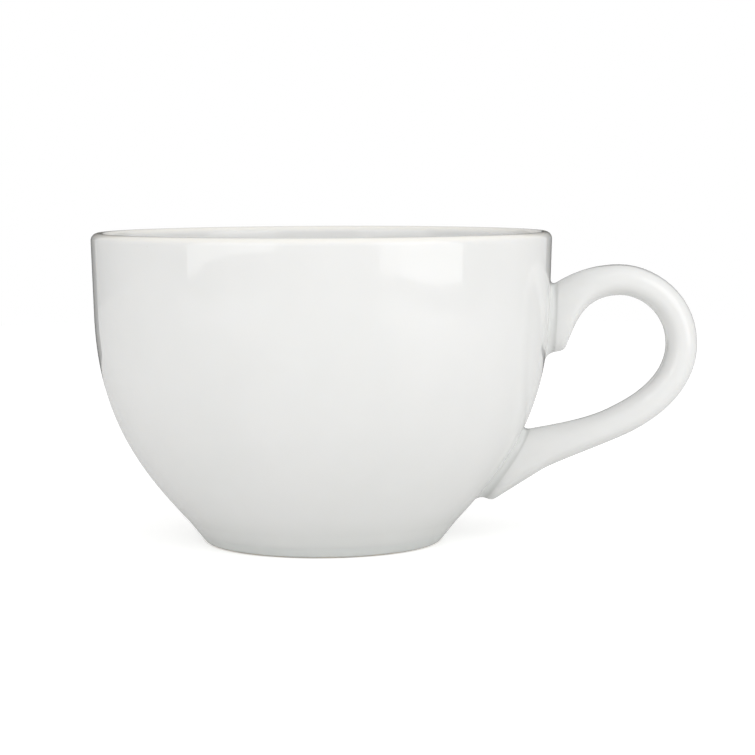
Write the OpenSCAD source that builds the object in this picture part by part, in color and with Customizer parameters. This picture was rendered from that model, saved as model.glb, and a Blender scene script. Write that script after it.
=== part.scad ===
// Cappuccino cup in white glazed porcelain: a round bowl on a low foot ring, with an ear-shaped
// handle joined to its side by two beads of slip. Lengths are in millimetres, angles in degrees.
// The table is the plane z = 0, the bowl turns about the Z axis and the handle points along +X.

/* [Bowl] */
// Diameter over the lip
rim_d = 105; // [98:0.5:112]
// Height of the lip above the table
cup_h = 71; // [68:0.2:76]
// Thickness of the rounded lip
lip_t = 3.4; // [2.6:0.1:4.4]
// Height from which the wall runs straight up to the lip
straight_h = 52; // [49:0.5:57]
// How far the straight wall leans out from upright
wall_lean = 1.8; // [0:0.1:3]
// Thickness of the straight wall
wall_t = 3.9; // [3:0.1:5]
// Thickness of the bowl at its heel, above the shoulder
heel_t = 5; // [4:0.1:6]
// Thickness of the floor above the foot ring
floor_t = 5; // [4:0.1:6.5]
// Diameter of the flat middle of the floor
floor_flat_d = 26; // [16:1:34]
// Diameter at the shoulder, where the foot ends and the bowl begins
shoulder_d = 62; // [59:0.2:66]
// Height of the shoulder above the table
shoulder_h = 5; // [4.4:0.1:7]
// How far the bowl leans out from upright at the shoulder
shoulder_lean = 42.5; // [38:0.5:50]
// Length over which the bowl keeps the lean that it has at the shoulder
lean_run = 15; // [11:0.5:21]
// Length over which the bowl turns into the straight wall
turn_run = 23.9; // [19:0.1:28]

/* [Foot ring] */
// Diameter of the foot at the table, before its edge is rounded
foot_d = 54; // [50:0.5:58]
// Height of the foot ring, which is the depth of the recess under the floor
foot_h = 2.4; // [1.6:0.1:3.4]
// Width of the bare flat face that stands on the table
foot_face_w = 2; // [1.2:0.1:2.8]
// Radius of the foot's outer edge
foot_edge_r = 1.6; // [0.8:0.1:2.2]
// Radius of the foot's inner edge
foot_inner_r = 0.7; // [0.3:0.1:1.2]
// How far the foot's inner side leans in from the table up to the recess
foot_inner_lean = 30; // [10:1:40]
// How far the underside rises from the foot ring to the middle
recess_rise = 0.8; // [0:0.1:1.5]

/* [Handle] */
// Height of the top of the loop
handle_top_h = 63.2; // [61.5:0.1:65.5]
// How far the loop reaches past the lip
handle_reach = 33.4; // [29:0.1:38]
// Thickness of the arm, seen from the side
arm_t = 7; // [6:0.1:9]
// Width of the arm from front to back
arm_w = 10.8; // [9:0.1:13]
// How far past the lip the top of the loop lies
crown_out = 15.7; // [12.5:0.1:18]
// Height of the loop's furthest point
back_h = 45; // [42.5:0.1:47.5]
// How far past the lip the lower arm straightens
knee_out = 17.2; // [14.5:0.1:19.5]
// Height of the lower arm there
knee_h = 28.1; // [25.5:0.1:30.5]
// Slope of the lower arm there
knee_slope = 27.5; // [22:0.5:33]
// Squareness of the arm's section: 1 is an ellipse, less is squarer
section_power = 0.88; // [0.7:0.02:1]

/* [Handle ends] */
// Height at which the upper end's top meets the wall
upper_end_high = 58.4; // [56.5:0.1:59.5]
// Height at which the upper end's underside meets the wall
upper_end_low = 42.8; // [40.5:0.1:44]
// Height of the toe under the upper end
upper_toe_h = 43.6; // [42:0.1:45]
// How far that toe stands out from the wall
upper_toe_out = 4.2; // [3.6:0.1:5.5]
// Width of the upper end at the wall
upper_end_w = 13; // [11:0.1:16]
// Slope at which the arm rises from the wall
arm_rise = 33; // [27:1:45]
// Slope of the thumb side above the upper toe
upper_toe_slope = 68.5; // [62:0.5:75]
// Height at which the lower end's top meets the wall
lower_end_high = 25.2; // [24:0.1:27.5]
// Height at which the lower end's underside meets the wall
lower_end_low = 10; // [9:0.1:11.4]
// Height of the toe at the lower end
lower_toe_h = 8.9; // [7.8:0.1:9.8]
// How far that toe stands out from the wall
lower_toe_out = 4.3; // [3.6:0.1:5.6]
// Width of the lower end at the wall
lower_end_w = 12.6; // [11:0.1:16]
// Slope of the tail along the lower toe
tail_slope = 32; // [26:1:37]
// Length of the straight tail
tail_l = 13.1; // [8:0.1:15]
// Slope of the lower end's top where it meets the wall
lower_top_slope = 9; // [0:1:15]
// Radius of both toes
toe_r = 1.6; // [0.8:0.1:2]
// Length over which each end widens towards the wall
end_flare_l = 15; // [10:0.5:20]

/* [Slip joints] */
// Thickness of the slip between the wall and the handle's end
slip_t = 0.4; // [0.2:0.05:0.8]
// Width of the bead of slip around each end
slip_fillet = 1.6; // [1:0.1:2]
// Thickness of the bead where it feathers out on the wall
slip_feather = 0.12; // [0.08:0.02:0.3]
// Clearance under the slip, so that its facets stay out of the curved wall
seat_gap = 0.05; // [0.03:0.01:0.1]

/* [Hidden] */

// Colours of the glazed pieces and of the slip, which takes the same glaze
glaze_white = [0.95, 0.95, 0.94];
slip_white = [0.93, 0.93, 0.91];

// Steps along the curves, sides of the arm's section and sides of the turned pieces
curve_steps = 36;
short_steps = 8;
arm_steps = 11;
tail_steps = 5;
toe_steps = 4;
fillet_steps = 4;
section_sides = 36;
end_rings = [0.25, 0.5, 0.75];
turned_sides = 180;

// How strongly each curve of the handle holds the direction at its start and at its end,
// as a share of the distance between its ends
loop_hold = [0.31, 0.45];
rise_hold = [0.29, 0.42];
thumb_hold = [0.3, 0.51];
sway_hold = [0.23, 0.16];
lower_top_hold = [0.21, 0.67];
even_hold = [0.4, 0.4];

// Where along the bowl's curve the heel gives way to the floor
heel_share = 0.14;

lip_r = rim_d / 2;
lip_edge_r = lip_t / 2;
lip_mid = [lip_r - lip_edge_r, cup_h - lip_edge_r];
floor_h = foot_h + floor_t;
shoulder = [shoulder_d / 2, shoulder_h];
shoulder_dir = 90 - shoulder_lean;
wall_dir = 90 - wall_lean;

// ---- plane geometry ----

function unit(v) = v / norm(v);
function mix(a, b, t) = a + (b - a) * t;
function ease(t) = let (s = min(max(t, 0), 1)) s * s * (3 - 2 * s);
function heading(angle) = [cos(angle), sin(angle)];
function reversed(list) = [for (i = [len(list) - 1 : -1 : 0]) list[i]];
function shares(steps, first = 0) = [for (i = [first : steps]) i / steps];

// A cubic curve from a to b that leaves along a_dir and arrives along b_dir
function curve(a, a_dir, b, b_dir, hold) =
    let (reach = norm(b - a))
    [a, a + hold[0] * reach * heading(a_dir), b - hold[1] * reach * heading(b_dir), b];

function on_curve(c, t) =
    let (s = 1 - t)
    s * s * s * c[0] + 3 * s * s * t * c[1] + 3 * s * t * t * c[2] + t * t * t * c[3];

function curve_dir(c, t) =
    let (s = 1 - t)
    unit(s * s * (c[1] - c[0]) + 2 * s * t * (c[2] - c[1]) + t * t * (c[3] - c[2]));

function arc(centre, r, from, to, steps) =
    [for (t = shares(steps)) centre + r * heading(mix(from, to, t))];

// The corner p between a and b, rounded with radius r
function rounded(a, p, b, r, steps) =
    let (to_a = unit(a - p))
    let (to_b = unit(b - p))
    let (half = acos(to_a * to_b) / 2)
    let (centre = p + unit(to_a + to_b) * r / sin(half))
    let (start = p + to_a * r / tan(half) - centre)
    let (end = p + to_b * r / tan(half) - centre)
    let (sweep = 180 - 2 * half)
    [for (t = shares(steps)) centre + (sin((1 - t) * sweep) * start + sin(t * sweep) * end) / sin(sweep)];

// ---- profile of the bowl and its foot, as [radius, height] ----

// The foot's flank runs straight from the table to the shoulder
function flank_at(h) = [mix(foot_d / 2, shoulder.x, h / shoulder_h), h];

// The straight wall, from the height where it starts up to the lip's rounding
wall_top = lip_mid + lip_edge_r * heading(-wall_lean);
wall_start = wall_top - (wall_top.y - straight_h) / cos(wall_lean) * heading(wall_dir);
bowl_curve = [
    shoulder,
    shoulder + lean_run * heading(shoulder_dir),
    wall_start - turn_run * heading(wall_dir),
    wall_start
];

// The inside follows the outside at the wall's own thickness, which grows towards the heel
function inside_at(t) =
    let (d = curve_dir(bowl_curve, t))
    on_curve(bowl_curve, t) + mix(heel_t, wall_t, ease(t)) * [-d.y, d.x];

heel = inside_at(heel_share);
heel_dir = let (d = curve_dir(bowl_curve, heel_share)) atan2(d.y, d.x);
floor_curve = curve([floor_flat_d / 2, floor_h], 0, heel, heel_dir, even_hold);
inner_wall = curve(inside_at(1), wall_dir, lip_mid - [lip_edge_r, 0], 90, even_hold);

outer_side = concat(
    [flank_at(foot_h)],
    [for (t = shares(curve_steps)) on_curve(bowl_curve, t)],
    [wall_top]
);
inner_side = concat(
    [[0, floor_h]],
    [for (t = shares(short_steps)) on_curve(floor_curve, t)],
    [for (t = shares(curve_steps, 1)) inside_at(mix(heel_share, 1, t))],
    [for (t = shares(short_steps, 1)) on_curve(inner_wall, t)]
);
lip_edge = arc(lip_mid, lip_edge_r, -wall_lean, 180, 2 * short_steps);

// The foot's flat face, its two corners before rounding and the recess inside it
foot_flat_out = rounded([0, 0], flank_at(0), flank_at(foot_h), foot_edge_r, short_steps)[0].x;
foot_flat_in = foot_flat_out - foot_face_w;
foot_inner_run = foot_inner_r * tan((90 - foot_inner_lean) / 2);
foot_inner_corner = [foot_flat_in - foot_inner_run, 0];
recess_r = foot_inner_corner.x - foot_h * tan(foot_inner_lean);
recess_edge = [recess_r, foot_h];

underside = [for (t = shares(short_steps)) [recess_r * t, foot_h + recess_rise * (1 - t * t)]];

// ---- the wall as the handle's ends meet it ----

// Radius of the outer wall, moved out by off, looked up by height
function wall_table(off) = [
    for (i = [0 : len(outer_side) - 1])
        let (d = unit(outer_side[min(i + 1, len(outer_side) - 1)] - outer_side[max(i - 1, 0)]))
        [outer_side[i].y - off * d.x, outer_side[i].x + off * d.y]
];
bare_wall = wall_table(0);
seat_wall = wall_table(seat_gap);
slip_wall = wall_table(slip_t);

function beside_wall(h, out, table = bare_wall) = [lookup(h, table) + out, h];

// The point p pressed straight in or out along X until it lies on the wall
function drape(p, table) =
    let (r = lookup(p.z, table))
    [sqrt(max(r * r - p.y * p.y, 0)), p.y, p.z];

// ---- outlines of the handle in its middle plane, as [x, z] ----

crown_top = [lip_r + crown_out, handle_top_h];
crown_under = crown_top - [0, arm_t];
back_outside = [lip_r + handle_reach, back_h];
back_inside = back_outside - [arm_t, 0];
knee = [lip_r + knee_out, knee_h];
knee_across = arm_t / 2 * heading(knee_slope - 90);
knee_dir = 180 + knee_slope;

upper_seat_high = beside_wall(upper_end_high, 0, slip_wall);
upper_seat_low = beside_wall(upper_end_low, 0, slip_wall);
upper_toe = beside_wall(upper_toe_h, upper_toe_out);
upper_toe_arc = rounded(upper_seat_low, upper_toe, upper_toe + heading(upper_toe_slope), toe_r, toe_steps);
rise_curve = curve(upper_seat_high, arm_rise, crown_top, 0, rise_hold);
thumb_curve = curve(upper_toe_arc[toe_steps], upper_toe_slope, crown_under, 0, thumb_hold);

lower_seat_high = beside_wall(lower_end_high, 0, slip_wall);
lower_seat_low = beside_wall(lower_end_low, 0, slip_wall);
lower_toe = beside_wall(lower_toe_h, lower_toe_out);
tail_start = lower_toe + tail_l * heading(tail_slope);
lower_toe_arc = rounded(tail_start, lower_toe, lower_seat_low, toe_r, toe_steps);
sway_curve = curve(knee + knee_across, knee_dir, tail_start, 180 + tail_slope, sway_hold);
lower_top_curve =
    curve(knee - knee_across, knee_dir, lower_seat_high, 180 + lower_top_slope, lower_top_hold);

// The share of a curve at which its bead of slip ends, at its start or measured back from its end
function bead_share(c) = slip_fillet / (3 * norm(c[1] - c[0]));
function bead_share_back(c) = slip_fillet / (3 * norm(c[3] - c[2]));
function beside(a, b) = a + slip_fillet * unit(b - a);

// Steps of the two end stretches, between the bead's edge and the loop
upper_steps = toe_steps + arm_steps + 1;
lower_steps = 2 * arm_steps + tail_steps + toe_steps + 1;
rise_start = bead_share(rise_curve);
lower_top_end = 1 - bead_share_back(lower_top_curve);

outside_line = concat(
    [upper_seat_high],
    [for (t = shares(upper_steps)) on_curve(rise_curve, mix(rise_start, 1, t))],
    [for (t = shares(arm_steps, 1)) on_curve(curve(crown_top, 0, back_outside, -90, loop_hold), t)],
    [for (t = shares(arm_steps, 1)) on_curve(curve(back_outside, -90, knee + knee_across, knee_dir, loop_hold), t)],
    [for (t = shares(2 * arm_steps, 1)) on_curve(sway_curve, t)],
    [for (t = shares(tail_steps, 1)) mix(tail_start, lower_toe_arc[0], t)],
    [for (i = [1 : toe_steps]) lower_toe_arc[i]],
    [beside(lower_seat_low, lower_toe)],
    [lower_seat_low]
);
inside_line = concat(
    [upper_seat_low],
    [beside(upper_seat_low, upper_toe)],
    upper_toe_arc,
    [for (t = shares(arm_steps, 1)) on_curve(thumb_curve, t)],
    [for (t = shares(arm_steps, 1)) on_curve(curve(crown_under, 0, back_inside, -90, loop_hold), t)],
    [for (t = shares(arm_steps, 1)) on_curve(curve(back_inside, -90, knee - knee_across, knee_dir, loop_hold), t)],
    [for (t = shares(lower_steps, 1)) on_curve(lower_top_curve, t * lower_top_end)],
    [lower_seat_high]
);
last_rib = len(outside_line) - 1;

// ---- rings of the handle, one on each rib between the two outlines ----

function rib_middle(i) = (outside_line[i] + inside_line[i]) / 2;

// How far rib i belongs to an end, from 1 at the wall to 0 where the end has run out
function nearness(i, end) = ease(1 - norm(rib_middle(i) - rib_middle(end)) / end_flare_l);

function rib_width(i) =
    arm_w + (upper_end_w - arm_w) * nearness(i, 0) + (lower_end_w - arm_w) * nearness(i, last_rib);

function powered(v) = sign(v) * pow(abs(v), section_power);

// A flat ring: angle 0 lies on the outside of the loop and 90 degrees towards +Y
function flat_ring(i) =
    let (middle = rib_middle(i))
    let (across = (outside_line[i] - inside_line[i]) / 2)
    let (half_w = rib_width(i) / 2)
    [
        for (j = [0 : section_sides - 1])
            let (angle = 360 * j / section_sides)
            let (c = powered(cos(angle)))
            [middle.x + across.x * c, half_w * powered(sin(angle)), middle.y + across.y * c]
    ];

function draped_ring(ring, table) = [for (p = ring) drape(p, table)];

// The ring of one end drawn in about its centre, still lying on the wall
function shrunk_ring(ring, share, table) =
    let (centre = middle_of(ring))
    [for (p = ring) drape(mix(centre, p, share), table)];

function middle_of(ring) = (ring[0] + ring[section_sides / 2]) / 2;

// The ends' rings follow the wall, and the next ones lose that bend step by step
upper_flat = flat_ring(0);
lower_flat = flat_ring(last_rib);
upper_bend = draped_ring(upper_flat, slip_wall) - upper_flat;
lower_bend = draped_ring(lower_flat, slip_wall) - lower_flat;

function handle_ring(i) =
    flat_ring(i) + upper_bend * nearness(i, 0) + lower_bend * nearness(i, last_rib);

function end_rings_on(flat, table) = [for (share = end_rings) shrunk_ring(flat, share, table)];

// ---- bead of slip around one end ----

// The outline of an end moved outwards over the wall by the bead's width
function widened_ring(flat, table) =
    let (centre = middle_of(flat))
    [for (p = flat) drape(p + slip_fillet * unit(p - centre), table)];

// A hollow bead from the handle's side down to the wall, bending towards the corner between them
function bead_ring(side, corner, edge, t) =
    [
        for (j = [0 : section_sides - 1])
            mix(mix(side[j], corner[j], t), mix(corner[j], edge[j], t), t)
    ];

// Rings of a slip joint, from its middle on the wall round the bead to its middle on the handle.
// flat is the end's flat ring, seat the handle's ring on the slip and side the ring at the bead's edge.
function slip_rings(flat, seat, side) =
    let (edge = widened_ring(flat, wall_table(seat_gap + slip_feather)))
    concat(
        end_rings_on(flat, seat_wall),
        [draped_ring(flat, seat_wall)],
        [widened_ring(flat, seat_wall)],
        [for (t = reversed(shares(fillet_steps))) bead_ring(side, seat, edge, t)],
        [seat],
        reversed(end_rings_on(flat, slip_wall))
    );

// ---- solids ----

// Closes a row of rings with a point at each end
module loft(first, rings, last) {
    sides = len(rings[0]);
    end = len(rings) * sides + 1;
    function at(i, j) = 1 + i * sides + j % sides;
    around = [for (j = [0 : sides - 1]) j];
    start_cap = [for (j = around) [0, at(0, j + 1), at(0, j)]];
    end_cap = [for (j = around) [end, at(len(rings) - 1, j), at(len(rings) - 1, j + 1)]];
    bands = [
        for (i = [0 : len(rings) - 2])
            for (j = around)
                for (face = [[at(i, j), at(i, j + 1), at(i + 1, j + 1)], [at(i, j), at(i + 1, j + 1), at(i + 1, j)]])
                    face
    ];
    points = concat([first], [for (ring = rings) each ring], [last]);
    polyhedron(points = points, faces = concat(start_cap, bands, end_cap), convexity = 6);
}

// The turned bowl: underside, seat on the foot ring, outside, lip, inside and floor
module cup_bowl() {
    color(glaze_white)
        rotate_extrude($fn = turned_sides)
            polygon(concat(
                underside,
                outer_side,
                [for (i = [1 : 2 * short_steps - 1]) lip_edge[i]],
                reversed(inner_side)
            ));
}

// The ring that the cup stands on: flank, rounded edge, bare flat face and inner side
module foot_ring() {
    color(glaze_white)
        rotate_extrude($fn = turned_sides)
            polygon(concat(
                [recess_edge],
                rounded(recess_edge, foot_inner_corner, flank_at(0), foot_inner_r, short_steps),
                rounded(foot_inner_corner, flank_at(0), flank_at(foot_h), foot_edge_r, short_steps),
                [flank_at(foot_h)]
            ));
}

// The cast handle, its ends cut to the wall and drawn back by the slip
module handle() {
    color(glaze_white)
        loft(
            drape(middle_of(upper_flat), slip_wall),
            concat(
                end_rings_on(upper_flat, slip_wall),
                [for (i = [0 : last_rib]) handle_ring(i)],
                reversed(end_rings_on(lower_flat, slip_wall))
            ),
            drape(middle_of(lower_flat), slip_wall)
        );
}

// The slip between the wall and the upper end, with its bead
module upper_slip_joint() {
    color(slip_white)
        loft(
            drape(middle_of(upper_flat), seat_wall),
            slip_rings(upper_flat, handle_ring(0), handle_ring(1)),
            drape(middle_of(upper_flat), slip_wall)
        );
}

// The slip between the wall and the lower end, with its bead
module lower_slip_joint() {
    color(slip_white)
        loft(
            drape(middle_of(lower_flat), slip_wall),
            reversed(slip_rings(lower_flat, handle_ring(last_rib), handle_ring(last_rib - 1))),
            drape(middle_of(lower_flat), seat_wall)
        );
}

cup_bowl();
foot_ring();
handle();
upper_slip_joint();
lower_slip_joint();
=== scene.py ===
import math

import bmesh
import bpy
from mathutils import Matrix, Vector


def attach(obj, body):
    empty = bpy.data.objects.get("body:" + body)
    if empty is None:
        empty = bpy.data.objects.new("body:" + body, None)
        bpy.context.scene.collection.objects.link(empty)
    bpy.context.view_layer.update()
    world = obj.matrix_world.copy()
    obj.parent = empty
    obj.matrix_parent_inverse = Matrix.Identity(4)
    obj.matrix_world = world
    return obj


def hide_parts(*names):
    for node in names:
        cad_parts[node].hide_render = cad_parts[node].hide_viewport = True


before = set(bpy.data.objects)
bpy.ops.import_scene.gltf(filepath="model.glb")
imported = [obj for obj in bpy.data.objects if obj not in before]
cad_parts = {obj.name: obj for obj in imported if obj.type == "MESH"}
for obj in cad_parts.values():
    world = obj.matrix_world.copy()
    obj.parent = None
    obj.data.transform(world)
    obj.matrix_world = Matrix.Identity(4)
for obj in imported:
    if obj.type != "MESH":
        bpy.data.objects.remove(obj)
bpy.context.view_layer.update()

MM = 0.001

# ---- sizes of the cup, in millimetres and degrees ----

LIP_R = 52.5
CUP_H = 71.0
LIP_EDGE_R = 1.7
STRAIGHT_H = 52.0
WALL_LEAN = 1.8
WALL_T = 3.9
HEEL_T = 5.0
FLOOR_H = 7.4
FLOOR_FLAT_R = 13.0
SHOULDER = Vector((31.0, 5.0))
SHOULDER_DIR = 47.5
LEAN_RUN = 15.0
TURN_RUN = 23.9
HEEL_SHARE = 0.14

FOOT_R = 27.0
FOOT_H = 2.4
FOOT_FACE_W = 2.0
FOOT_EDGE_R = 1.6
FOOT_INNER_R = 0.7
FOOT_INNER_LEAN = 30.0
RECESS_RISE = 0.8

HANDLE_TOP_H = 63.2
HANDLE_REACH = 33.4
ARM_T = 7.0
ARM_W = 10.8
CROWN_OUT = 15.7
BACK_H = 45.0
KNEE_OUT = 17.2
KNEE_H = 28.1
KNEE_SLOPE = 27.5
SECTION_POWER = 0.88

UPPER_END_HIGH = 58.4
UPPER_END_LOW = 42.8
UPPER_TOE_H = 43.6
UPPER_TOE_OUT = 4.2
UPPER_END_W = 13.0
ARM_RISE = 33.0
UPPER_TOE_SLOPE = 68.5
LOWER_END_HIGH = 25.2
LOWER_END_LOW = 10.0
LOWER_TOE_H = 8.9
LOWER_TOE_OUT = 4.3
LOWER_END_W = 12.6
TAIL_SLOPE = 32.0
TAIL_L = 13.1
LOWER_TOP_SLOPE = 9.0
TOE_R = 1.6
END_FLARE_L = 15.0
SLIP_T = 0.4
SLIP_FILLET = 1.6

LOOP_HOLD = (0.31, 0.45)
RISE_HOLD = (0.29, 0.42)
THUMB_HOLD = (0.3, 0.51)
SWAY_HOLD = (0.23, 0.16)
LOWER_TOP_HOLD = (0.21, 0.67)
EVEN_HOLD = (0.4, 0.4)

# Points closer than MERGE become one, and the slip reaches UNDER_WALL into the wall
MERGE = 0.002
UNDER_WALL = 0.3
# Heights of the rings of points on the side of the foot and just above it
FLANK_MIDDLE_H = 3.4
FOOT_SIDE_H = 2.0

# ---- sizes in the glaze and the clay, in millimetres ----

WAVE_L = 14.0
TURNING_RING_L = 4.0
CLOUD_L = 30.0
POOL_TOP_H = 11.0
POOL_FULL_H = 3.0
CREST_START = 1.4
CREST_FULL = 0.3
SPECK_CELL = 9.0
SEAM_SIDE = 0.5
SEAM_CORE = 0.1
SEAM_START = 2.0
SEAM_FULL = 6.0
GLAZE_RELIEF = 0.05
BODY_DEPTH = 2.2
LINE_WAVER_L = 5.0
LINE_WAVER = 0.5
LINE_START = 0.5
LINE_END = 0.62
GRIT_L = 0.25
RUB_L = 3.0
GRIT_RELIEF = 0.03
PAPER_CLUMP_L = 4.0
PAPER_DROP = 0.02

# ---- how finely each part is divided ----

TURNED_SIDES = 216
UNDERSIDE_STEPS = 12
OUTSIDE_STEPS = 64
STRAIGHT_STEPS = 10
LIP_STEPS = 24
INNER_WALL_STEPS = 12
INSIDE_STEPS = 56
HEEL_STEPS = 18
FLOOR_STEPS = 3
FOOT_INNER_STEPS = 10
FOOT_EDGE_STEPS = 14
SECTION_SIDES = 64
ARM_STEPS = 14
TAIL_STEPS = 6
TOE_STEPS = 7
BEAD_STEPS = 9
CREASE = 50


# ---- plane geometry: points and headings in the plane of the handle ----


def heading(angle):
    return Vector((math.cos(math.radians(angle)), math.sin(math.radians(angle))))


def shares(steps, first=0):
    return [i / steps for i in range(first, steps + 1)]


def mix(a, b, t):
    return a + (b - a) * t


def ease(t):
    s = min(max(t, 0.0), 1.0)
    return s * s * (3 - 2 * s)


def curve(a, a_dir, b, b_dir, hold):
    """A cubic curve from a to b that leaves along a_dir and arrives along b_dir."""
    reach = (b - a).length
    return a, a + heading(a_dir) * hold[0] * reach, b - heading(b_dir) * hold[1] * reach, b


def on_curve(c, t):
    s = 1 - t
    return c[0] * s**3 + c[1] * 3 * s * s * t + c[2] * 3 * s * t * t + c[3] * t**3


def curve_dir(c, t):
    s = 1 - t
    return ((c[1] - c[0]) * s * s + (c[2] - c[1]) * 2 * s * t + (c[3] - c[2]) * t * t).normalized()


def rounded(a, p, b, r, steps):
    """The corner p between a and b, rounded with radius r."""
    to_a, to_b = (a - p).normalized(), (b - p).normalized()
    half = to_a.angle(to_b) / 2
    centre = p + (to_a + to_b).normalized() * r / math.sin(half)
    start = p + to_a * r / math.tan(half) - centre
    end = p + to_b * r / math.tan(half) - centre
    sweep = math.pi - 2 * half
    return [
        centre + (start * math.sin((1 - t) * sweep) + end * math.sin(t * sweep)) / math.sin(sweep)
        for t in shares(steps)
    ]


# ---- profile of the bowl and its foot, as (radius, height) ----

lip_mid = Vector((LIP_R - LIP_EDGE_R, CUP_H - LIP_EDGE_R))
wall_dir = 90 - WALL_LEAN
wall_top = lip_mid + heading(-WALL_LEAN) * LIP_EDGE_R
wall_start = wall_top - heading(wall_dir) * (wall_top.y - STRAIGHT_H) / math.cos(math.radians(WALL_LEAN))
bowl_curve = (
    SHOULDER,
    SHOULDER + heading(SHOULDER_DIR) * LEAN_RUN,
    wall_start - heading(wall_dir) * TURN_RUN,
    wall_start,
)


def flank_at(h):
    return Vector((mix(FOOT_R, SHOULDER.x, h / SHOULDER.y), h))


def inside_at(t):
    """The inside follows the outside at the wall's own thickness, which grows towards the heel."""
    d = curve_dir(bowl_curve, t)
    return on_curve(bowl_curve, t) + Vector((-d.y, d.x)) * mix(HEEL_T, WALL_T, ease(t))


def turned_profile():
    """The bowl from the middle of its underside, up the outside, over the lip and down to the floor."""
    recess_r = recess_edge().x
    underside = [
        Vector((recess_r * t, FOOT_H + RECESS_RISE * (1 - t * t))) for t in shares(UNDERSIDE_STEPS)
    ]
    outside = [flank_at(FOOT_H), flank_at(FLANK_MIDDLE_H)]
    outside += [on_curve(bowl_curve, t) for t in shares(OUTSIDE_STEPS)]
    straight = [mix(wall_start, wall_top, t) for t in shares(STRAIGHT_STEPS, 1)]
    lip = [lip_mid + heading(mix(-WALL_LEAN, 180, t)) * LIP_EDGE_R for t in shares(LIP_STEPS, 1)]
    inner_wall = curve(inside_at(1), wall_dir, lip_mid - Vector((LIP_EDGE_R, 0)), 90, EVEN_HOLD)
    heel = inside_at(HEEL_SHARE)
    heel_d = curve_dir(bowl_curve, HEEL_SHARE)
    heel_angle = math.degrees(math.atan2(heel_d.y, heel_d.x))
    floor_curve = curve(Vector((FLOOR_FLAT_R, FLOOR_H)), 0, heel, heel_angle, EVEN_HOLD)
    inside = (
        [on_curve(inner_wall, 1 - t) for t in shares(INNER_WALL_STEPS, 1)]
        + [inside_at(mix(1, HEEL_SHARE, t)) for t in shares(INSIDE_STEPS, 1)]
        + [on_curve(floor_curve, 1 - t) for t in shares(HEEL_STEPS, 1)]
    )
    floor = [Vector((FLOOR_FLAT_R * (1 - t), FLOOR_H)) for t in shares(FLOOR_STEPS, 1)]
    return underside + outside + straight + lip + inside + floor


def foot_corners():
    flat_out = rounded(Vector((0, 0)), flank_at(0), flank_at(FOOT_H), FOOT_EDGE_R, 2)[0].x
    run = FOOT_INNER_R * math.tan(math.radians((90 - FOOT_INNER_LEAN) / 2))
    return Vector((flat_out - FOOT_FACE_W - run, 0)), flank_at(0)


def recess_edge():
    inner, _ = foot_corners()
    return Vector((inner.x - FOOT_H * math.tan(math.radians(FOOT_INNER_LEAN)), FOOT_H))


def foot_profile():
    """The foot ring from its seat inside, round its bare face and out to its seat again."""
    inner, outer = foot_corners()
    return (
        [recess_edge(), mix(recess_edge(), inner, 0.5)]
        + rounded(recess_edge(), inner, outer, FOOT_INNER_R, FOOT_INNER_STEPS)
        + rounded(inner, outer, flank_at(FOOT_H), FOOT_EDGE_R, FOOT_EDGE_STEPS)
        + [flank_at(FOOT_SIDE_H), flank_at(FOOT_H)]
    )


# ---- the wall as the handle's ends meet it ----

outer_side = (
    [flank_at(FOOT_H)]
    + [on_curve(bowl_curve, t) for t in shares(OUTSIDE_STEPS)]
    + [mix(wall_start, wall_top, t) for t in shares(4, 1)]
)


def wall_table(off):
    """Heights and radii of the outer wall, moved out by off."""
    table = []
    last = len(outer_side) - 1
    for i, p in enumerate(outer_side):
        d = (outer_side[min(i + 1, last)] - outer_side[max(i - 1, 0)]).normalized()
        table.append((p.y - off * d.x, p.x + off * d.y))
    return table


def wall_radius(h, table):
    for (h0, r0), (h1, r1) in zip(table, table[1:]):
        if h <= h1:
            break
    return mix(r0, r1, min(max((h - h0) / (h1 - h0), 0), 1))


bare_wall = wall_table(0)
slip_wall = wall_table(SLIP_T)
under_wall = wall_table(-UNDER_WALL)


def beside_wall(h, out, table=bare_wall):
    return Vector((wall_radius(h, table) + out, h))


def drape(p, table):
    """The point p pressed straight in or out along X until it lies on the wall."""
    r = wall_radius(p.z, table)
    return Vector((math.sqrt(max(r * r - p.y * p.y, 0)), p.y, p.z))


# ---- outlines of the handle in its middle plane ----

crown_top = Vector((LIP_R + CROWN_OUT, HANDLE_TOP_H))
crown_under = crown_top - Vector((0, ARM_T))
back_outside = Vector((LIP_R + HANDLE_REACH, BACK_H))
back_inside = back_outside - Vector((ARM_T, 0))
knee = Vector((LIP_R + KNEE_OUT, KNEE_H))
knee_across = heading(KNEE_SLOPE - 90) * ARM_T / 2
knee_dir = 180 + KNEE_SLOPE

upper_seat_high = beside_wall(UPPER_END_HIGH, 0, slip_wall)
upper_seat_low = beside_wall(UPPER_END_LOW, 0, slip_wall)
upper_toe = beside_wall(UPPER_TOE_H, UPPER_TOE_OUT)
upper_toe_arc = rounded(
    upper_seat_low, upper_toe, upper_toe + heading(UPPER_TOE_SLOPE), TOE_R, TOE_STEPS
)
rise_curve = curve(upper_seat_high, ARM_RISE, crown_top, 0, RISE_HOLD)
thumb_curve = curve(upper_toe_arc[-1], UPPER_TOE_SLOPE, crown_under, 0, THUMB_HOLD)

lower_seat_high = beside_wall(LOWER_END_HIGH, 0, slip_wall)
lower_seat_low = beside_wall(LOWER_END_LOW, 0, slip_wall)
lower_toe = beside_wall(LOWER_TOE_H, LOWER_TOE_OUT)
tail_start = lower_toe + heading(TAIL_SLOPE) * TAIL_L
lower_toe_arc = rounded(tail_start, lower_toe, lower_seat_low, TOE_R, TOE_STEPS)
sway_curve = curve(knee + knee_across, knee_dir, tail_start, 180 + TAIL_SLOPE, SWAY_HOLD)
lower_top_curve = curve(
    knee - knee_across, knee_dir, lower_seat_high, 180 + LOWER_TOP_SLOPE, LOWER_TOP_HOLD
)


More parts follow.
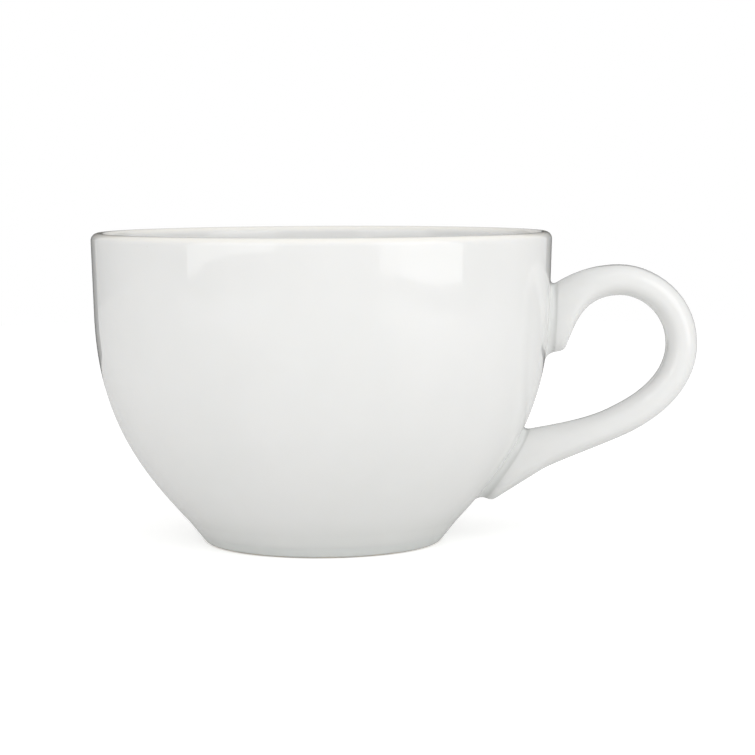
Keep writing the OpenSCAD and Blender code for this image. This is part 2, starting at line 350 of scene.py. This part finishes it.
def beside(a, b):
    return a + (b - a).normalized() * SLIP_FILLET


rise_first = SLIP_FILLET / (3 * (rise_curve[1] - rise_curve[0]).length)
lower_top_last = 1 - SLIP_FILLET / (3 * (lower_top_curve[3] - lower_top_curve[2]).length)
outer_back = curve(crown_top, 0, back_outside, -90, LOOP_HOLD)
outer_turn = curve(back_outside, -90, knee + knee_across, knee_dir, LOOP_HOLD)
inner_back = curve(crown_under, 0, back_inside, -90, LOOP_HOLD)
inner_turn = curve(back_inside, -90, knee - knee_across, knee_dir, LOOP_HOLD)

outside_line = (
    [upper_seat_high]
    + [on_curve(rise_curve, mix(rise_first, 1, t)) for t in shares(TOE_STEPS + ARM_STEPS + 1)]
    + [on_curve(outer_back, t) for t in shares(ARM_STEPS, 1)]
    + [on_curve(outer_turn, t) for t in shares(ARM_STEPS, 1)]
    + [on_curve(sway_curve, t) for t in shares(2 * ARM_STEPS, 1)]
    + [mix(tail_start, lower_toe_arc[0], t) for t in shares(TAIL_STEPS, 1)]
    + lower_toe_arc[1:]
    + [beside(lower_seat_low, lower_toe), lower_seat_low]
)
inside_line = (
    [upper_seat_low, beside(upper_seat_low, upper_toe)]
    + upper_toe_arc
    + [on_curve(thumb_curve, t) for t in shares(ARM_STEPS, 1)]
    + [on_curve(inner_back, t) for t in shares(ARM_STEPS, 1)]
    + [on_curve(inner_turn, t) for t in shares(ARM_STEPS, 1)]
    + [
        on_curve(lower_top_curve, t * lower_top_last)
        for t in shares(2 * ARM_STEPS + TAIL_STEPS + TOE_STEPS + 1, 1)
    ]
    + [lower_seat_high]
)
LAST_RIB = len(outside_line) - 1


# ---- rings of the handle and of its beads of slip ----


def rib_middle(i):
    return (outside_line[i] + inside_line[i]) / 2


def nearness(i, end):
    """How far rib i belongs to an end, from 1 at the wall to 0 where the end has run out."""
    return ease(1 - (rib_middle(i) - rib_middle(end)).length / END_FLARE_L)


def rib_width(i):
    return ARM_W + (UPPER_END_W - ARM_W) * nearness(i, 0) + (LOWER_END_W - ARM_W) * nearness(i, LAST_RIB)


def powered(v):
    return math.copysign(abs(v) ** SECTION_POWER, v)


def flat_ring(i):
    """A flat ring between the two outlines, its angle 0 on the outside of the loop."""
    middle, across = rib_middle(i), (outside_line[i] - inside_line[i]) / 2
    ring = []
    for j in range(SECTION_SIDES):
        angle = math.tau * j / SECTION_SIDES
        c = powered(math.cos(angle))
        side = rib_width(i) / 2 * powered(math.sin(angle))
        ring.append(Vector((middle.x + across.x * c, side, middle.y + across.y * c)))
    return ring


def draped(ring, table):
    return [drape(p, table) for p in ring]


def bends(ring, table):
    return [d - p for d, p in zip(draped(ring, table), ring)]


def ring_middle(ring):
    return (ring[0] + ring[SECTION_SIDES // 2]) / 2


upper_flat, lower_flat = flat_ring(0), flat_ring(LAST_RIB)
upper_bend, lower_bend = bends(upper_flat, slip_wall), bends(lower_flat, slip_wall)


def handle_ring(i):
    near_top, near_tail = nearness(i, 0), nearness(i, LAST_RIB)
    return [p + u * near_top + v * near_tail for p, u, v in zip(flat_ring(i), upper_bend, lower_bend)]


def bead_rings(flat, seat, side):
    """Rings of a joint of slip: the handle's end, up its side, out over the bead and into the wall."""
    middle = ring_middle(flat)
    spread = [p + (p - middle).normalized() * SLIP_FILLET for p in flat]
    edge = draped(spread, bare_wall)
    rings = [
        [mix(mix(s, c, t), mix(c, e, t), t) for s, c, e in zip(side, seat, edge)]
        for t in shares(BEAD_STEPS)
    ]
    return [seat] + rings + [draped(spread, under_wall)]


# ---- making meshes ----


def only(obj=None):
    """Leaves edit mode and selects one object, or none."""
    if bpy.context.object and bpy.context.object.mode == "EDIT":
        bpy.ops.object.mode_set(mode="OBJECT")
    bpy.ops.object.select_all(action="DESELECT")
    if obj:
        obj.select_set(True)
        bpy.context.view_layer.objects.active = obj


def named(name):
    obj = bpy.context.object
    obj.name = obj.data.name = name
    return obj


def finish_piece(obj):
    """Points the faces outwards, smooths the shading up to the crease angle and sets the origin."""
    bpy.ops.mesh.select_all(action="SELECT")
    bpy.ops.mesh.remove_doubles(threshold=MERGE * MM)
    bpy.ops.mesh.normals_make_consistent(inside=False)
    only(obj)
    bpy.ops.object.transform_apply(location=True, rotation=True, scale=True)
    bpy.ops.object.shade_smooth_by_angle(angle=math.radians(CREASE))
    return obj


def turned(name, profile):
    """A wheel-turned piece: its profile is drawn with a vertex and spun about the cup's axis."""
    only()
    first = Vector((profile[0].x, 0, profile[0].y)) * MM
    bpy.ops.mesh.primitive_plane_add(size=MM, location=first)
    obj = named(name)
    bpy.ops.object.mode_set(mode="EDIT")
    bpy.ops.mesh.select_all(action="SELECT")
    bpy.ops.mesh.merge(type="CENTER")
    for a, b in zip(profile, profile[1:]):
        step = Vector((b.x - a.x, 0, b.y - a.y)) * MM
        bpy.ops.mesh.extrude_vertices_move(TRANSFORM_OT_translate={"value": step})
    bpy.ops.mesh.select_all(action="SELECT")
    bpy.ops.mesh.remove_doubles(threshold=MERGE * MM)
    bpy.ops.mesh.spin(steps=TURNED_SIDES, angle=math.tau, center=(0, 0, 0), axis=(0, 0, 1))
    return finish_piece(obj)


def lofted(name, rings):
    """Rings added as circles, each pressed to its place and bridged to the last, with capped ends."""
    only()
    bpy.ops.mesh.primitive_circle_add(vertices=SECTION_SIDES, radius=MM)
    obj = named(name)
    bpy.ops.object.mode_set(mode="EDIT")
    for _ in rings[1:]:
        bpy.ops.mesh.primitive_circle_add(vertices=SECTION_SIDES, radius=MM)
    shape = bmesh.from_edit_mesh(obj.data)
    shape.verts.ensure_lookup_table()
    for k, ring in enumerate(rings):
        for j, p in enumerate(ring):
            shape.verts[k * SECTION_SIDES + j].co = p * MM
    for k in range(len(rings) - 1):
        pick_rings(obj, k, k + 1)
        bpy.ops.mesh.bridge_edge_loops()
    for k in (0, len(rings) - 1):
        pick_rings(obj, k)
        bpy.ops.mesh.edge_face_add()
    return finish_piece(obj)


def pick_rings(obj, *chosen):
    """Selects rings by their place in the loft."""
    bpy.ops.mesh.select_all(action="DESELECT")
    shape = bmesh.from_edit_mesh(obj.data)
    shape.verts.ensure_lookup_table()
    for k in chosen:
        for v in shape.verts[k * SECTION_SIDES : (k + 1) * SECTION_SIDES]:
            v.select = True
    shape.select_flush(True)
    bmesh.update_edit_mesh(obj.data)


# ---- materials ----


def linear(hex_value):
    """An sRGB hex colour as linear red, green, blue and alpha."""
    parts = [int(hex_value[i : i + 2], 16) / 255 for i in (1, 3, 5)]
    return [c / 12.92 if c <= 0.04045 else ((c + 0.055) / 1.055) ** 2.4 for c in parts] + [1.0]


def node(tree, kind, settings=None, **inputs):
    """Adds a node with its settings. An input, by name or by number, is a value or a socket to link."""
    made = tree.nodes.new(kind)
    for key, value in (settings or {}).items():
        setattr(made, key, value)
    for key, value in inputs.items():
        by_number = key[0] == "n" and key[1:].isdigit()
        socket = made.inputs[int(key[1:]) if by_number else key.replace("_", " ")]
        if isinstance(value, bpy.types.NodeSocket):
            tree.links.new(value, socket)
        else:
            socket.default_value = value
    return made


def new_material(name):
    mat = bpy.data.materials.new(name)
    mat.use_nodes = True
    tree = mat.node_tree
    shader = tree.nodes["Principled BSDF"]
    place = tree.nodes.new("ShaderNodeTexCoord").outputs["Object"]
    return mat, tree, shader, place


def glazed_porcelain(name, body, pooled, gathered):
    """Porcelain turned or cast, then fired under a clear gloss glaze, so it is white and mirror-smooth.

    The glaze softens what is reflected, gathers low and in corners, where it looks cooler,
    and thins on the lip, where the warmer clay shows.
    """
    mat, tree, shader, place = new_material(name)
    place_parts = node(tree, "ShaderNodeSeparateXYZ", Vector=place)
    height = place_parts.outputs["Z"]
    # Glaze lies in soft waves about 14 mm long, which bend its reflections a little
    waves = node(
        tree, "ShaderNodeTexNoise", Vector=place, Scale=1 / (WAVE_L * MM), Detail=1.0, Roughness=0.4
    )
    # The turning tool left rings about 4 mm apart, which the glaze nearly fills
    level = node(tree, "ShaderNodeVectorMath", {"operation": "MULTIPLY"}, n0=place, n1=(1, 1, 0))
    radius = node(tree, "ShaderNodeVectorMath", {"operation": "LENGTH"}, n0=level.outputs[0])
    turning = node(tree, "ShaderNodeCombineXYZ", X=radius.outputs["Value"], Z=height)
    rings = node(
        tree,
        "ShaderNodeTexNoise",
        Vector=turning.outputs[0],
        Scale=1 / (TURNING_RING_L * MM),
        Detail=1.0,
        Roughness=0.5,
    )
    # The clay under it varies in whiteness over about 30 mm
    cloud = node(
        tree, "ShaderNodeTexNoise", Vector=place, Scale=1 / (CLOUD_L * MM), Detail=3.0, Roughness=0.5
    )
    patchy = node(
        tree,
        "ShaderNodeMapRange",
        Value=cloud.outputs["Fac"],
        From_Min=0.35,
        From_Max=0.65,
        To_Min=gathered,
        To_Max=gathered + 0.35,
    )
    # Runny glaze gathers on the lowest 11 mm, inside on the floor and outside above the foot
    low = node(
        tree,
        "ShaderNodeMapRange",
        {"interpolation_type": "SMOOTHSTEP"},
        Value=height,
        From_Min=POOL_TOP_H * MM,
        From_Max=POOL_FULL_H * MM,
        To_Max=0.6,
    )
    depth = node(
        tree,
        "ShaderNodeMath",
        {"operation": "ADD", "use_clamp": True},
        n0=patchy.outputs[0],
        n1=low.outputs[0],
    )
    colour = node(
        tree,
        "ShaderNodeMix",
        {"data_type": "RGBA"},
        n0=depth.outputs[0],
        n6=linear(body),
        n7=linear(pooled),
    )
    # Within about 1 mm of the lip's crest the glaze is thin
    crest = node(
        tree,
        "ShaderNodeMapRange",
        {"interpolation_type": "SMOOTHSTEP"},
        Value=height,
        From_Min=(CUP_H - CREST_START) * MM,
        From_Max=(CUP_H - CREST_FULL) * MM,
        To_Max=0.8,
    )
    lipped = node(
        tree,
        "ShaderNodeMix",
        {"data_type": "RGBA"},
        n0=crest.outputs[0],
        n6=colour.outputs[2],
        n7=linear("#F3F0E9"),
    )
    # A few iron specks, 0.2 to 0.5 mm across so that they show, in one of five cells of 9 mm
    cells = node(tree, "ShaderNodeTexVoronoi", Vector=place, Scale=1 / (SPECK_CELL * MM))
    dot = node(
        tree,
        "ShaderNodeMapRange",
        Value=cells.outputs["Distance"],
        From_Min=0.028,
        From_Max=0.012,
        To_Max=0.5,
    )
    chance = node(tree, "ShaderNodeSeparateColor", Color=cells.outputs["Color"])
    chosen = node(tree, "ShaderNodeMath", {"operation": "GREATER_THAN"}, n0=chance.outputs[0], n1=0.8)
    speck = node(
        tree, "ShaderNodeMath", {"operation": "MULTIPLY"}, n0=dot.outputs[0], n1=chosen.outputs[0]
    )
    speckled = node(
        tree,
        "ShaderNodeMix",
        {"data_type": "RGBA"},
        n0=speck.outputs[0],
        n6=lipped.outputs[2],
        n7=linear("#C9C2B4"),
    )
    tree.links.new(speckled.outputs[2], shader.inputs["Base Color"])
    gloss = node(tree, "ShaderNodeMapRange", Value=waves.outputs["Fac"], To_Min=0.02, To_Max=0.05)
    tree.links.new(gloss.outputs["Result"], shader.inputs["Roughness"])

    # The cast handle keeps the rubbed-down line of its two-part mould, under 1 mm wide along its middle
    aside = node(tree, "ShaderNodeMath", {"operation": "ABSOLUTE"}, n0=place_parts.outputs["Y"])
    line = node(
        tree,
        "ShaderNodeMapRange",
        {"interpolation_type": "SMOOTHSTEP"},
        Value=aside.outputs[0],
        From_Min=SEAM_SIDE * MM,
        From_Max=SEAM_CORE * MM,
    )
    outwards = node(
        tree,
        "ShaderNodeMapRange",
        {"interpolation_type": "SMOOTHSTEP"},
        Value=place_parts.outputs["X"],
        From_Min=(LIP_R + SEAM_START) * MM,
        From_Max=(LIP_R + SEAM_FULL) * MM,
        To_Max=0.4,
    )
    seam = node(
        tree, "ShaderNodeMath", {"operation": "MULTIPLY"}, n0=line.outputs[0], n1=outwards.outputs[0]
    )
    ringed = node(
        tree,
        "ShaderNodeMath",
        {"operation": "MULTIPLY_ADD"},
        n0=rings.outputs["Fac"],
        n1=0.12,
        n2=waves.outputs["Fac"],
    )
    relief = node(tree, "ShaderNodeMath", {"operation": "ADD"}, n0=ringed.outputs[0], n1=seam.outputs[0])
    pitted = node(
        tree, "ShaderNodeMath", {"operation": "SUBTRACT"}, n0=relief.outputs[0], n1=speck.outputs[0]
    )
    bump = node(
        tree, "ShaderNodeBump", Height=pitted.outputs[0], Strength=1.0, Distance=GLAZE_RELIEF * MM
    )
    tree.links.new(bump.outputs["Normal"], shader.inputs["Normal"])
    soft_body(shader)
    return mat


def soft_body(shader):
    """Fired porcelain lets a little light through, so that its lip and edges look soft."""
    shader.inputs["IOR"].default_value = 1.5
    shader.inputs["Subsurface Weight"].default_value = 0.2
    shader.inputs["Subsurface Radius"].default_value = (1.0, 0.93, 0.82)
    shader.inputs["Subsurface Scale"].default_value = BODY_DEPTH * MM


def ground_foot(name, body, bisque):
    """Porcelain foot: glazed on its sides, and wiped, fired and ground bare where it stands.

    The bare clay is matt and warmer than the glaze, with a fine grit and grey marks from tables.
    """
    mat, tree, shader, place = new_material(name)
    height = node(tree, "ShaderNodeSeparateXYZ", Vector=place).outputs["Z"]
    # The wiped glaze ends in a wavering line about 0.3 mm up
    waver = node(tree, "ShaderNodeTexNoise", Vector=place, Scale=1 / (LINE_WAVER_L * MM), Detail=2.0)
    wavering = node(
        tree,
        "ShaderNodeMath",
        {"operation": "MULTIPLY_ADD"},
        n0=waver.outputs["Fac"],
        n1=LINE_WAVER * MM,
        n2=height,
    )
    glazed = node(
        tree,
        "ShaderNodeMapRange",
        {"interpolation_type": "SMOOTHSTEP"},
        Value=wavering.outputs[0],
        From_Min=LINE_START * MM,
        From_Max=LINE_END * MM,
    )
    # Grit of the ground face, 0.25 mm across, and rubbed marks about 3 mm long
    grit = node(tree, "ShaderNodeTexNoise", Vector=place, Scale=1 / (GRIT_L * MM), Detail=2.0)
    marks = node(
        tree, "ShaderNodeTexNoise", Vector=place, Scale=1 / (RUB_L * MM), Detail=4.0, Roughness=0.7
    )
    rubbed = node(
        tree, "ShaderNodeMapRange", Value=marks.outputs["Fac"], From_Min=0.55, From_Max=0.72, To_Max=0.55
    )
    bare = node(
        tree,
        "ShaderNodeMix",
        {"data_type": "RGBA"},
        n0=rubbed.outputs[0],
        n6=linear(bisque),
        n7=linear("#C4BFB5"),
    )
    colour = node(
        tree,
        "ShaderNodeMix",
        {"data_type": "RGBA"},
        n0=glazed.outputs[0],
        n6=bare.outputs[2],
        n7=linear(body),
    )
    tree.links.new(colour.outputs[2], shader.inputs["Base Color"])
    gloss = node(tree, "ShaderNodeMapRange", Value=glazed.outputs[0], To_Min=0.62, To_Max=0.05)
    tree.links.new(gloss.outputs[0], shader.inputs["Roughness"])
    smooth = node(
        tree,
        "ShaderNodeMix",
        {"data_type": "FLOAT"},
        n0=glazed.outputs[0],
        n2=grit.outputs["Fac"],
        n3=1.6,
    )
    bump = node(
        tree, "ShaderNodeBump", Height=smooth.outputs[0], Strength=1.0, Distance=GRIT_RELIEF * MM
    )
    tree.links.new(bump.outputs["Normal"], shader.inputs["Normal"])
    soft_body(shader)
    return mat


white_glaze = glazed_porcelain("gloss_glazed_porcelain", "#E8E8E7", "#DFE0DE", 0.0)
slip_glaze = glazed_porcelain("gloss_glaze_over_slip", "#E7E7E5", "#DDDFDC", 0.3)
foot_glaze = ground_foot("ground_porcelain_foot", "#E1E3E1", "#E6E0D4")


# ---- pieces ----


def dress(obj, node_name, material):
    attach(obj, "root")
    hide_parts(node_name)
    obj.data.materials.clear()
    obj.data.materials.append(material)


bowl = turned("bowl", turned_profile())
dress(bowl, "cup_bowl", white_glaze)

foot = turned("foot", foot_profile() + [recess_edge()])
dress(foot, "foot_ring", foot_glaze)

arm = lofted("arm", [handle_ring(i) for i in range(LAST_RIB + 1)])
dress(arm, "handle", white_glaze)

upper_bead = lofted("upper_bead", bead_rings(upper_flat, handle_ring(0), handle_ring(1)))
dress(upper_bead, "upper_slip_joint", slip_glaze)

lower_bead = lofted(
    "lower_bead", bead_rings(lower_flat, handle_ring(LAST_RIB), handle_ring(LAST_RIB - 1))
)
dress(lower_bead, "lower_slip_joint", slip_glaze)


# ---- floor, light and camera ----


def paper_table():
    """A round table top under white paper, a hair below the foot. The backdrop begins at its edge."""
    only()
    under_foot = (0, 0, -PAPER_DROP * MM)
    bpy.ops.mesh.primitive_circle_add(
        vertices=128, radius=TABLE_R, fill_type="NGON", location=under_foot
    )
    floor = named("paper_table")
    paper, tree, shader, place = new_material("matt_white_paper")
    # Uncoated paper: its fibre clumps, a few millimetres long, vary its white by a hair
    clumps = node(tree, "ShaderNodeTexNoise", Vector=place, Scale=1 / (PAPER_CLUMP_L * MM), Detail=2.0)
    tint = node(
        tree,
        "ShaderNodeMix",
        {"data_type": "RGBA"},
        n0=clumps.outputs["Fac"],
        n6=linear("#F0F0EF"),
        n7=linear("#EDEDEC"),
    )
    tree.links.new(tint.outputs[2], shader.inputs["Base Color"])
    shader.inputs["Roughness"].default_value = 0.9
    shader.inputs["Specular IOR Level"].default_value = 0.1
    # Overexposed in the photograph, so the camera sees it a little brighter than it lights the cup
    seen = node(tree, "ShaderNodeLightPath").outputs["Is Camera Ray"]
    burnt = node(tree, "ShaderNodeMath", {"operation": "MULTIPLY"}, n0=seen, n1=PAPER_GLOW)
    tree.links.new(burnt.outputs[0], shader.inputs["Emission Strength"])
    floor.data.materials.append(paper)


def softbox(name, azimuth, height, distance, width, tall, glow, lean=0.0):
    """A softbox that faces the cup's axis level. Azimuth runs from the camera's side to the handle's."""
    turn_to = math.radians(azimuth)
    place = Vector((math.sin(turn_to) * distance, -math.cos(turn_to) * distance, height))
    only()
    bpy.ops.object.light_add(type="AREA", location=place)
    lamp = bpy.context.object
    lamp.name = lamp.data.name = name
    lamp.data.shape = "RECTANGLE"
    lamp.data.size, lamp.data.size_y = width, tall
    # Its glow is its brightness against the white backdrop's
    lamp.data.energy = glow * math.pi * width * tall
    lamp.visible_camera = False
    facing = (Vector((0, 0, height)) - place).to_track_quat("-Z", "Y").to_matrix()
    lamp.rotation_euler = (facing @ Matrix.Rotation(math.radians(lean), 3, "Z")).to_euler()


def dark_flag(name, azimuth, distance, width, tall):
    """A dark card beside the view, seen only in reflections, that draws the cup's bright edges."""
    turn_to = math.radians(azimuth)
    place = Vector((math.sin(turn_to) * distance, -math.cos(turn_to) * distance, tall / 2))
    only()
    bpy.ops.mesh.primitive_plane_add(size=1, location=place, rotation=(math.pi / 2, 0, turn_to))
    bpy.ops.transform.resize(value=(width, tall, 1), orient_type="LOCAL")
    card = named(name)
    only(card)
    bpy.ops.object.transform_apply(location=True, rotation=True, scale=True)
    black, _, shader, _ = new_material("black_velvet")
    shader.inputs["Base Color"].default_value = linear("#2A2A2A")
    shader.inputs["Roughness"].default_value = 1.0
    card.data.materials.append(black)
    card.visible_camera = card.visible_diffuse = card.visible_shadow = False


# Staging lengths are in metres, azimuths in degrees, and a glow of 1 is as bright as the white backdrop
TABLE_R = 0.75
RIGHT_BOX_H = 0.305
RIGHT_BOX_TALL = 0.592
FLAG_AZIMUTH = 156
FLAG_DISTANCE = 0.34
FLAG_W = 0.16
FLAG_TALL = 0.24
RIGHT_GLOW = 1.8
RIGHT_MARGIN_GLOW = 1.3
LEFT_GLOW = 1.45
TENT_GLOW = 0.45
TENT_TOP = 0.27
TENT_FRONT = 0.12
TENT_RIGHT = 0.16
PAPER_GLOW = 0.43

paper_table()
softbox("right_softbox", 54.3, RIGHT_BOX_H, 0.525, 0.299, RIGHT_BOX_TALL, RIGHT_GLOW)
softbox("right_softbox_margin", 33.2, RIGHT_BOX_H, 0.547, 0.101, RIGHT_BOX_TALL, RIGHT_MARGIN_GLOW)
softbox("left_softbox", -43.1, 0.319, 0.561, 0.461, 0.6, LEFT_GLOW, lean=2.5)
dark_flag("left_flag", -FLAG_AZIMUTH, FLAG_DISTANCE, FLAG_W, FLAG_TALL)
dark_flag("right_flag", FLAG_AZIMUTH, FLAG_DISTANCE, FLAG_W, FLAG_TALL)

# The tent round the cup is brighter overhead, in front and to the right. The camera sees it pure white
world = bpy.data.worlds.new("light_tent")
bpy.context.scene.world = world
world.use_nodes = True
tent = world.node_tree
backdrop = tent.nodes["Background"]
view = node(tent, "ShaderNodeTexCoord").outputs["Generated"]
toward = node(tent, "ShaderNodeSeparateXYZ", Vector=view)
above = node(
    tent, "ShaderNodeMapRange", Value=toward.outputs["Z"], To_Min=TENT_GLOW, To_Max=TENT_GLOW + TENT_TOP
)
ahead = node(
    tent, "ShaderNodeMapRange", Value=toward.outputs["Y"], From_Min=0.0, From_Max=-1.0, To_Max=TENT_FRONT
)
aside = node(tent, "ShaderNodeMapRange", Value=toward.outputs["X"], To_Max=TENT_RIGHT)
sides = node(tent, "ShaderNodeMath", {"operation": "ADD"}, n0=ahead.outputs[0], n1=aside.outputs[0])
glow = node(tent, "ShaderNodeMath", {"operation": "ADD"}, n0=above.outputs[0], n1=sides.outputs[0])
seen = node(
    tent,
    "ShaderNodeMix",
    {"data_type": "FLOAT"},
    n0=node(tent, "ShaderNodeLightPath").outputs["Is Camera Ray"],
    n2=glow.outputs[0],
    n3=1.0,
)
tent.links.new(seen.outputs[0], backdrop.inputs["Strength"])
backdrop.inputs["Color"].default_value = linear("#FFFFFF")

PIXELS = 755
SENSOR = 36.0
VIEW_DISTANCE = 520 * MM
VIEW_PITCH = 5.27
VIEW_ROLL = -0.23
VIEW_AIM = Vector((12.6, 0, 37.4)) * MM
PIXELS_PER_MM = 4.347

only()
bpy.ops.object.camera_add()
camera = bpy.context.object
camera.name = "camera"
pitch = math.radians(VIEW_PITCH)
camera.location = VIEW_AIM + Vector((0, -math.cos(pitch), math.sin(pitch))) * VIEW_DISTANCE
turn = Matrix.Rotation(math.pi / 2 - pitch, 3, "X") @ Matrix.Rotation(math.radians(VIEW_ROLL), 3, "Z")
camera.rotation_euler = turn.to_euler()
camera.data.sensor_width = SENSOR
camera.data.lens = PIXELS_PER_MM / MM * VIEW_DISTANCE * SENSOR / PIXELS
camera.data.clip_start = 0.01
bpy.context.scene.camera = camera
bpy.context.scene.view_settings.view_transform = "Standard"
